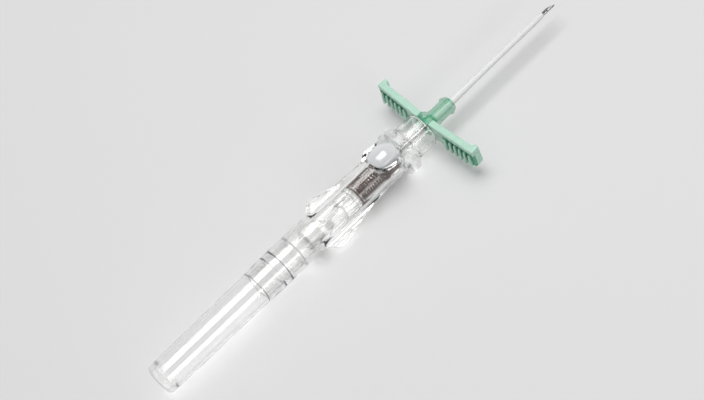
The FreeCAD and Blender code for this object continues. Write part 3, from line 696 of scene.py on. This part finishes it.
def grip_outside(grid):
    """The grip's turned outside, with a fuller belly below the axis."""
    rear, spigot, bead, slope = 29.7, 3.48, 3.7, 0.22
    flare_foot, flare_foot_radius = 48.9, 4.3
    flare_start, flare_end, flare_radius, waist_arc = 50.8, 51.9, 6.1, 54.1
    collar_front, collar, bevel, bevel_radius = 75.8, 5.75, 0.5, 5.2
    cup = 4.27
    spigot_side = [
        (rear, PAST_AXIS), (rear, spigot), (SNAP_REAR - slope, spigot), (SNAP_REAR, bead),
        (SNAP_FRONT, bead), (SNAP_FRONT + slope, spigot), (BARREL_FRONT, spigot)]
    flare = [
        (BARREL_FRONT, BARREL_FRONT_RADIUS), (BELLY_FOOT, BARREL_FRONT_RADIUS),
        (flare_foot, flare_foot_radius), (flare_start, flare_radius)]
    waist = arc_points((flare_end, flare_radius), (WAIST_END, WAIST_RADIUS), waist_arc, 1)
    front_side = [
        (COLLAR_REAR, WAIST_RADIUS), (COLLAR_REAR, bevel_radius), (COLLAR_REAR + bevel, collar),
        (collar_front - bevel, collar), (collar_front, bevel_radius), (collar_front, cup),
        (CUP_FRONT, cup), (CUP_FRONT, PAST_AXIS)]
    belly_start, belly_end, belly_radius, belly_arc = 49.7, 51.6, 6.55, 74.8
    belly_back = [(BELLY_FOOT, PAST_AXIS), (BELLY_FOOT, BARREL_FRONT_RADIUS), (belly_start, belly_radius)]
    belly_waist = arc_points((belly_end, belly_radius), (WAIST_END, WAIST_RADIUS), belly_arc, 1)
    belly = grid.turned(belly_back + belly_waist + [(WAIST_END, PAST_AXIS)])
    below_axis = grid.z
    outside = grid.turned(spigot_side + flare + waist + front_side)
    return joined(outside, np.maximum(belly, below_axis), blend=0.25)


def grip_boss(grid):
    """The raised boss round the button, with round rear corners in plan."""
    rear, front, half, corner, top = 65.5, 75.4, 4.12, 2.7, 3.55
    left_corner = arc_points((rear + corner, half), (rear, half - corner), corner, 1, 16)
    right_corner = arc_points((rear, corner - half), (rear + corner, -half), corner, 1, 16)
    return grid.upright(left_corner + right_corner + [(front, -half), (front, half)], 0, top)


def grip_scoops(grid):
    """Four hollows along the flare, each the side of a wide rod."""
    rear, centre, radius = 43.1, 18.3, 14.0
    span = np.maximum(rear - grid.x, grid.x - WAIST_END)
    places = ((centre, 0), (-centre, 0), (0, centre), (0, -centre))
    return [np.maximum(grid.rod_along_x(y, z, radius), span) for y, z in places]


def grip_dip(grid):
    """The hollow across the boss's top behind the collar."""
    rear, high, low, radius = 68.4, 3.55, 2.95, 15.0
    dip = arc_points((rear, high), (COLLAR_REAR, low), radius, 1)
    return grid.sideways([(rear, FAR)] + dip + [(COLLAR_REAR, FAR)], -FAR, FAR)


def grip_inside(grid):
    """The bores for the spring, the needle hub and the needle, and the hollow of the nose cup."""
    behind, ahead = 28, 90
    step, spring_wall, neck_front = 40.2, 71.65, 74.7
    spigot_bore, spring_bore, neck_bore = 3.1, 2.95, 1.75
    bores = grid.turned([
        (behind, PAST_AXIS), (behind, spigot_bore), (step, spigot_bore), (step, spring_bore),
        (spring_wall, spring_bore), (spring_wall, neck_bore), (neck_front, neck_bore),
        (neck_front, SNOUT_BORE), (ahead, SNOUT_BORE), (ahead, PAST_AXIS)])
    cup_floor, past_cup, cup_bore = 76.4, 84, 3.45
    cup = grid.turned([
        (cup_floor, SNOUT_RADIUS), (cup_floor, cup_bore), (past_cup, cup_bore), (past_cup, SNOUT_RADIUS)])
    return bores, cup


def grip_snout(grid):
    """The snout in the nose cup, on which the introducer's hub sits."""
    rear, front, narrow = 76.0, 84.6, 1.42
    return grid.turned([
        (rear, SNOUT_BORE), (rear, SNOUT_RADIUS), (CUP_FRONT, SNOUT_RADIUS), (front, narrow),
        (front, SNOUT_BORE)])


def make_grip():
    """The clear grip in one moulding, with its scooped flare, boss, well, collar, cup and snout."""
    grid = Field((29.2, -6.2, -6.2), (85.1, 6.2, 6.2), step=0.14)
    solid = joined(grip_outside(grid), grip_boss(grid), blend=0.6)
    solid = without(solid, *grip_scoops(grid), grip_dip(grid))
    solid = joined(without(solid, *grip_inside(grid)), grip_snout(grid))
    well_floor, well_gap = 0.4, 0.25
    slot_rear, slot_front, slot_half, slot_low = 72.05, 73.35, 2.75, -4.75
    well = grid.upright(egg(well_gap), well_floor, FAR)
    slot = grid.block((slot_rear, -slot_half, slot_low), (slot_front, slot_half, FAR))
    return skin("grip_shell", grid, softened(without(solid, well, slot), rounds=2))


def make_button():
    """White dome on a thin shell with its keyhole plate."""
    grid = Field((65.6, -3.3, -3.8), (73.7, 3.3, 5.7), step=0.11)
    skirt, above = 2.45, 6.2
    dome_x, dome_z = 69.6, 2.6
    half_length, half_width, dome_height = 4.3, 3.3, 2.6
    plan = grid.upright(egg(0), skirt, above)
    shape = np.sqrt(((grid.x - dome_x) / half_length) ** 2 + (grid.y / half_width) ** 2
                    + ((grid.z - dome_z) / dome_height) ** 2)
    plate_rear, plate_front, plate_half, plate_low, plate_high = 72.2, 73.05, 2.45, -3.3, 3.35
    room = 2.72
    hollow = np.maximum(grid.rod_along_x(0, PRESS, room), grid.x - plate_rear)
    head = without(np.maximum(plan, (shape - 1) * dome_height), hollow)
    plate = grid.block((plate_rear, -plate_half, plate_low), (plate_front, plate_half, plate_high))
    wide, narrow, cut_rear, cut_front = 1.95, 1.56, 70, 75
    between_holes = grid.block((cut_rear, -narrow, 0), (cut_front, narrow, PRESS))
    keyhole = joined(grid.rod_along_x(0, PRESS, wide), grid.rod_along_x(0, 0, narrow), between_holes)
    return skin("button_dome", grid, softened(without(joined(head, plate), keyhole), rounds=3))


def make_flash_tube():
    """Clear chamber behind the spring, with the flange that takes the spring."""
    rear, flange_rear, front, bore, tube, flange = 44.3, 58.0, 58.9, 1.92, 2.4, 2.72
    return lathe("flash_tube", [
        (rear, bore), (rear, tube), (flange_rear, tube), (flange_rear, flange), (front, flange),
        (front, bore)], radius=0.2)


def make_plug():
    """Porous plug in the chamber's rear end."""
    rear, front, plug = 44.9, 48.5, 1.91
    return lathe("porous_plug", [(rear, 0), (rear, plug), (front, plug), (front, 0)], radius=0.15)


def make_needle_hub():
    """Clear needle hub: a spigot in the chamber, a shaft inside the spring, a neck and a catch."""
    spigot, shaft, neck, catch, catch_end = 1.91, 1.72, 1.2, 1.46, 1.16
    rear, spigot_front, shaft_rear, shaft_front = 54.9, 58.9, 59.3, 71.1
    neck_rear, neck_front, catch_front, front = 71.9, 73.25, 73.9, 74.2
    wide_bore, needle_bore, wide_bore_front = 0.72, 0.47, 69.4
    return lathe("needle_hub_body", [
        (rear, wide_bore), (rear, spigot), (spigot_front, spigot), (shaft_rear, shaft),
        (shaft_front, shaft), (neck_rear, neck), (neck_front, neck), (neck_front, catch),
        (catch_front, catch), (front, catch_end), (front, needle_bore),
        (wide_bore_front, needle_bore), (wide_bore_front, wide_bore)], radius=0.12)


def make_adhesive():
    """Ring of adhesive between the needle and its hub."""
    rear, front, inner, outer = 66.4, 69.4, 0.465, 0.71
    profile = [(rear, inner), (rear, outer), (front, outer), (front, inner)]
    return lathe("adhesive_ring", profile, segments=48, radius=0.05)


def make_needle():
    """Steel tube whose point is ground by a long bevel and two lancet facets."""
    tip, outer, inner, rear = 123.9, 0.455, 0.3, 61.0
    bevel, facet, roll = math.radians(15), math.radians(21), math.radians(36)
    segments, chamfer = 72, 0.03

    def ground_end(y, z):
        ends = [tip - (z + outer) / math.tan(bevel)]
        for turn in (roll, -roll):
            across = z * math.cos(turn) - y * math.sin(turn)
            point = -outer * math.cos(turn)
            ends.append(tip - (across - point) / math.tan(facet))
        return min(ends)

    points, faces = [], []
    stations = [0.0, 0.02, 0.5, 0.9, 0.95, 0.98, 1.0]
    for radius, edge in ((outer, chamfer), (inner, -chamfer)):
        for share in stations:
            for k in range(segments):
                angle = 2 * math.pi * k / segments
                y, z = radius * math.cos(angle), radius * math.sin(angle)
                end = ground_end(y, z)
                shrink = 1 - edge / radius if share == 0.0 else 1.0
                points.append(((rear + (end - rear) * share) * MM, y * shrink * MM, z * shrink * MM))
    rows = len(stations)

    def vertex(layer, row, k):
        return (layer * rows + row) * segments + k % segments

    def face(k, first, second):
        """A face between two rings of points, each given by its layer and row."""
        return (vertex(*first, k), vertex(*first, k + 1), vertex(*second, k + 1), vertex(*second, k))

    for k in range(segments):
        for row in range(rows - 1):
            faces.append(face(k, (0, row), (0, row + 1)))
            faces.append(face(k, (1, row + 1), (1, row)))
        faces.append(face(k, (0, rows - 1), (1, rows - 1)))
        faces.append(face(k, (1, 0), (0, 0)))
    piece = new_mesh("needle_tube", points, faces)
    tidy_mesh(piece)
    sharpen(piece, 25)
    return piece


def make_spring():
    """Spring whose pitch changes a little; returns the piece and how far along the wire each point is."""
    wire, mean, turns, around, sides = 0.21, 2.36, 18, 40, 12
    pitch_change = 0.012
    points, shares, faces = [], [], []
    steps = turns * around
    for i in range(steps + 1):
        share = i / steps
        turn = share * turns
        advance = share + pitch_change * math.sin(4 * math.pi * share)
        x = SPRING_REAR + wire + (SPRING_FRONT - SPRING_REAR - 2 * wire) * advance
        angle = 2 * math.pi * turn
        for k in range(sides):
            bend = 2 * math.pi * k / sides
            radius = mean + wire * math.cos(bend)
            along = x + wire * math.sin(bend)
            points.append((along * MM, radius * math.cos(angle) * MM, radius * math.sin(angle) * MM))
            shares.append(share)
    for i in range(steps):
        for k in range(sides):
            a, b = i * sides, (i + 1) * sides
            j = (k + 1) % sides
            faces.append((a + k, a + j, b + j, b + k))
    faces.append(tuple(range(sides))[::-1])
    faces.append(tuple(steps * sides + k for k in range(sides)))
    piece = new_mesh("spring_coil", points, faces)
    return piece, shares


def hub_tube(grid):
    """The green hub's tube, with the collar round its socket and the ring and taper at its front."""
    socket_rear, socket_front, front = 81.6, 84.8, 90.35
    socket, socket_end, cannula_bore = 1.66, 1.46, 0.88
    rim, collar, tube, ring, nose = 2.3, 2.75, 1.9, 2.28, 1.62
    collar_rear, collar_front, tube_rear, ring_rear, ring_front = 81.95, 83.6, 84.2, 88.65, 89.15
    behind, ahead = 80, 92
    body = grid.turned([
        (socket_rear, socket), (socket_rear, rim), (collar_rear, rim), (collar_rear, collar),
        (collar_front, collar), (tube_rear, tube), (ring_rear, tube), (ring_rear, ring),
        (ring_front, ring), (front, nose), (front, cannula_bore), (socket_front, cannula_bore),
        (socket_front, socket_end)])
    bore = grid.turned([
        (behind, PAST_AXIS), (behind, socket), (socket_rear, socket), (socket_front, socket_end),
        (socket_front, cannula_bore), (ahead, cannula_bore), (ahead, PAST_AXIS)])
    return body, bore


def hub_score(grid):
    """The score lines along the top and bottom of the hub's collar."""
    bottom, slope, front = 2.4, 0.7, 85.0
    groove = (bottom - np.abs(grid.z)) * slope + np.abs(grid.y) * slope
    return np.maximum(groove, grid.x - front)


def wing_plate(u, v, z):
    """The wing's plate with the lip along its end; u runs forwards, v outwards and z upwards."""
    lip_front, lip_width, lip_slope, lip_edge = 2.5, 1.0, 0.9, 0.45
    lip_foot = WING_SPAN - lip_width
    curve = arc_points((WING_FRONT, lip_foot - lip_slope), (lip_front, lip_foot), lip_slope, -1, 10)
    edge = arc_points((lip_front, WING_SPAN - lip_edge), (lip_front - lip_edge, WING_SPAN), lip_edge, 1, 8)
    plan = [(0, WING_ROOT), (WING_FRONT, WING_ROOT)] + curve + edge + [(0, WING_SPAN)]
    plate = polygon_distance(u[:, :, 0], v[:, :, 0], plan)[:, :, None]
    return np.maximum(plate, np.abs(z) - WING_HALF_HEIGHT)


def wing_gusset(u, v, z):
    """The curved web between the wing's front and the tube."""
    rear, radius, half_height = 0.8, 1.95, 1.6
    curve = arc_points((WING_FRONT + radius, WING_ROOT), (WING_FRONT, WING_ROOT + radius), radius, -1, 16)
    plan = [(rear, WING_ROOT)] + curve + [(rear, WING_ROOT + radius)]
    gusset = polygon_distance(u[:, :, 0], v[:, :, 0], plan)[:, :, None]
    return np.maximum(gusset, np.abs(z) - half_height)


def ribbed(plate, u, v, z):
    """Hollow the plate's back and stand six leaning, round-topped ribs in it."""
    top_depth, low_depth, top, outer_end = 0.55, 0.1, 1.3, 14.9
    lean = (top_depth - low_depth) / (top + WING_HALF_HEIGHT)
    floor = top_depth - lean * (top - z)
    hollow = np.maximum(np.maximum(u - floor, z - top), np.maximum(HOLLOW_INNER_END - v, v - outer_end))
    plate = without(plate, hollow)
    count, first, pitch = 6, 6.775, 1.483
    radius, rib_height, round_from, rib_front = 0.37, 0.98, 0.72, 1.0
    for i in range(count):
        middle = first + pitch * i
        axis_x = floor + radius - rib_height
        height = np.maximum(z - round_from, 0)
        behind = np.minimum(u - axis_x, 0)
        rib = np.sqrt(behind ** 2 + (v - middle) ** 2 + height ** 2) - radius
        rib = np.maximum(rib, np.maximum(u - rib_front, -WING_HALF_HEIGHT - z))
        plate = joined(plate, rib, blend=0.12)
    return plate


def make_hub_half():
    """Left half of the green hub: tube, collar, swept wing, hollowed back and round-topped ribs."""
    grid = Field((80.7, -0.4, -3.2), (90.9, 16.0, 3.2), step=0.12)
    sweep = math.radians(WING_SWEEP)
    flat_x = grid.x - WING_BACK
    u = flat_x * math.cos(sweep) - grid.y * math.sin(sweep)
    v = flat_x * math.sin(sweep) + grid.y * math.cos(sweep)
    wing = ribbed(wing_plate(u, v, grid.z), u, v, grid.z)
    tube, bore = hub_tube(grid)
    solid = joined(tube, wing, wing_gusset(u, v, grid.z), blend=0.2)
    solid = softened(without(solid, bore, hub_score(grid)), rounds=3)
    left_side = -grid.y
    return skin("hub_half_left", grid, np.maximum(solid, left_side))


def make_cannula_half():
    """Left half of the slim tapered cannula."""
    rear, taper_rear, taper_front, tip_rear, tip = 84.82, 92.4, 100.6, 117.3, 120.0
    bore, wide, slim, end = 0.5, 0.87, 0.72, 0.56
    profile = [
        (rear, bore), (rear, wide), (taper_rear, wide), (taper_front, slim), (tip_rear, slim),
        (tip, end), (tip, bore)]
    quarter = math.pi / 2
    return lathe("cannula_half_left", profile, segments=32, first=-quarter, last=quarter, radius=0.05)


def build():
    clear_barrel = barrel_plastic()
    clear_grip = grip_plastic()
    clear_inner = clear_plastic("clear_inner", INNER_CLEAR, wave_depth=0.00001, passes=INNER_PASSES)
    white = button_plastic()
    green = hub_plastic()
    waxy = plastic("cannula_white", CANNULA_WHITE, roughness=0.3, grain_scale=3000, grain_depth=0.000002,
                   subsurface=0.1)
    porous = plastic("plug_porous", PLUG_WHITE, roughness=0.8, grain_scale=9000, grain_depth=0.00002)
    glue = plastic("glue_clear", GLUE, roughness=0.2, grain_scale=2000, grain_depth=0.000002,
                   transmission=0.5)
    bright = steel("needle_steel", NEEDLE_STEEL, roughness=0.14, stretch=(0.02, 1, 1))
    wire = steel("spring_steel", SPRING_STEEL, roughness=0.25, stretch=(1, 1, 1))

    place(make_barrel(), clear_barrel, "housing", "barrel", "barrel")
    place(make_grip(), clear_grip, "housing", "grip", "grip")
    place(make_button(), white, "button", "button", "latch_button")
    place(make_flash_tube(), clear_inner, "needle_unit", "chamber", "flash_chamber")
    place(make_plug(), porous, "needle_unit", "plug", "vent_plug")
    place(make_needle_hub(), clear_inner, "needle_unit", "needle_hub", "needle_hub")
    place(make_adhesive(), glue, "needle_unit", "adhesive", "needle_adhesive")
    place(make_needle(), bright, "needle_unit", "needle", "needle")
    hub = make_hub_half()
    place(mirrored(hub, "hub_half_right"), green, "introducer_right", "hub_green", "hub_right")
    place(hub, green, "introducer_left", "hub_green", "hub_left")
    cannula = make_cannula_half()
    place(mirrored(cannula, "cannula_half_right"), waxy, "introducer_right", "cannula", "cannula_right")
    place(cannula, waxy, "introducer_left", "cannula", "cannula_left")

    spring, shares = make_spring()
    spring.data.materials.append(wire)
    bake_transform(spring)
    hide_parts("retraction_spring")


# Light and floor

def area_light(name, place_at, target, size, power):
    data = bpy.data.lights.new(name, "AREA")
    data.shape = "RECTANGLE"
    data.size, data.size_y = size
    data.energy = power
    light = bpy.data.objects.new(name, data)
    bpy.context.scene.collection.objects.link(light)
    light.location = place_at
    aim = Vector(target) - Vector(place_at)
    light.rotation_euler = aim.to_track_quat("-Z", "Y").to_euler()


# the room's brightness as it lights the object, as gloss shows it and as clear plastic shows it
HORIZON_LIGHT, OVERHEAD_LIGHT = 0.16, 0.5
HORIZON_GLOSS, OVERHEAD_GLOSS = 1.0, 0.2
HORIZON_THROUGH, OVERHEAD_THROUGH = 0.9, 0.85
# how far up, from 0 level to 1 straight up, the horizon's brightness ends and the overhead one starts
HORIZON_UP_TO, OVERHEAD_FROM = 0.25, 0.7


def make_world():
    world = bpy.data.worlds.new("studio")
    world.use_nodes = True
    tree = world.node_tree
    tree.nodes.clear()
    coordinates = tree.nodes.new("ShaderNodeTexCoord")
    split = tree.nodes.new("ShaderNodeSeparateXYZ")
    tree.links.new(coordinates.outputs["Generated"], split.inputs["Vector"])
    height = mask(tree, split.outputs["Z"], HORIZON_UP_TO, OVERHEAD_FROM)
    path = tree.nodes.new("ShaderNodeLightPath")
    shade = tint(tree, height, (HORIZON_LIGHT,) * 3, (OVERHEAD_LIGHT,) * 3)
    for ray, low, high in (("Is Glossy Ray", HORIZON_GLOSS, OVERHEAD_GLOSS),
                           ("Is Transmission Ray", HORIZON_THROUGH, OVERHEAD_THROUGH)):
        seen = tint(tree, height, (low,) * 3, (high,) * 3)
        shade = blended(tree, path.outputs[ray], shade, seen)
    room = tree.nodes.new("ShaderNodeBackground")
    tree.links.new(shade, room.inputs["Color"])
    output = tree.nodes.new("ShaderNodeOutputWorld")
    tree.links.new(room.outputs["Background"], output.inputs["Surface"])
    bpy.context.scene.world = world


FLOOR_HEIGHT, FLOOR_HALF_SIZE = -6.15 * MM, 1.5
FLOOR_GREY, FLOOR_ROUGHNESS = 0.66, 0.9
# what is added to the floor's own light where it is seen, also in gloss and through clear plastic
FLOOR_LIFT = 0.03


def make_stage():
    size = FLOOR_HALF_SIZE
    plan = ((-size, -size), (size, -size), (size, size), (-size, size))
    floor = new_mesh("floor", [(x, y, FLOOR_HEIGHT) for x, y in plan], [(0, 1, 2, 3)])
    material, tree, shader = new_material("floor_pale")
    shader.inputs["Base Color"].default_value = (FLOOR_GREY, FLOOR_GREY, FLOOR_GREY, 1)
    shader.inputs["Roughness"].default_value = FLOOR_ROUGHNESS
    shader.inputs["Specular IOR Level"].default_value = 0.0
    path = tree.nodes.new("ShaderNodeLightPath")
    seen = path.outputs["Is Camera Ray"]
    for ray in ("Is Glossy Ray", "Is Transmission Ray"):
        seen = arithmetic(tree, "MAXIMUM", seen, path.outputs[ray])
    tree.links.new(arithmetic(tree, "MULTIPLY", seen, FLOOR_LIFT), shader.inputs["Emission Strength"])
    floor.data.materials.append(material)


# The lights are strips along the needle's axis, placed by their angle round it from straight up.
# The camera's angle is in degrees, and the places are in metres.
VIEW_ANGLE = 34.5
LIGHT_DISTANCE = 0.6
STRIP_CENTRE, STRIP_LENGTH = 0.14, 0.42
# each strip's angle from the camera's, the angle that it spreads over, and its radiance
STRIP_ABOVE, STRIP_LOW = (-41, 37, 4.9), (29, 11, 3.8)


def strip_light(name, offset, spread, radiance):
    """A strip seen from the needle at an angle from the camera, so wide that it spreads over an angle."""
    angle = math.radians(VIEW_ANGLE + offset)
    spot = (STRIP_CENTRE, -LIGHT_DISTANCE * math.sin(angle), LIGHT_DISTANCE * math.cos(angle))
    width = 2 * LIGHT_DISTANCE * math.tan(math.radians(spread) / 2)
    power = math.pi * width * STRIP_LENGTH * radiance
    area_light(name, spot, (STRIP_CENTRE, 0, 0), (STRIP_LENGTH, width), power)


def light_up():
    strip_light("strip_above", *STRIP_ABOVE)
    strip_light("strip_low", *STRIP_LOW)


# raised for the clear pieces that sit inside one another
BOUNCES = 24

make_camera()
build()
make_stage()
make_world()
light_up()
bpy.context.scene.view_settings.view_transform = "Standard"
bpy.context.scene.cycles.max_bounces = BOUNCES
bpy.context.scene.cycles.transmission_bounces = BOUNCES
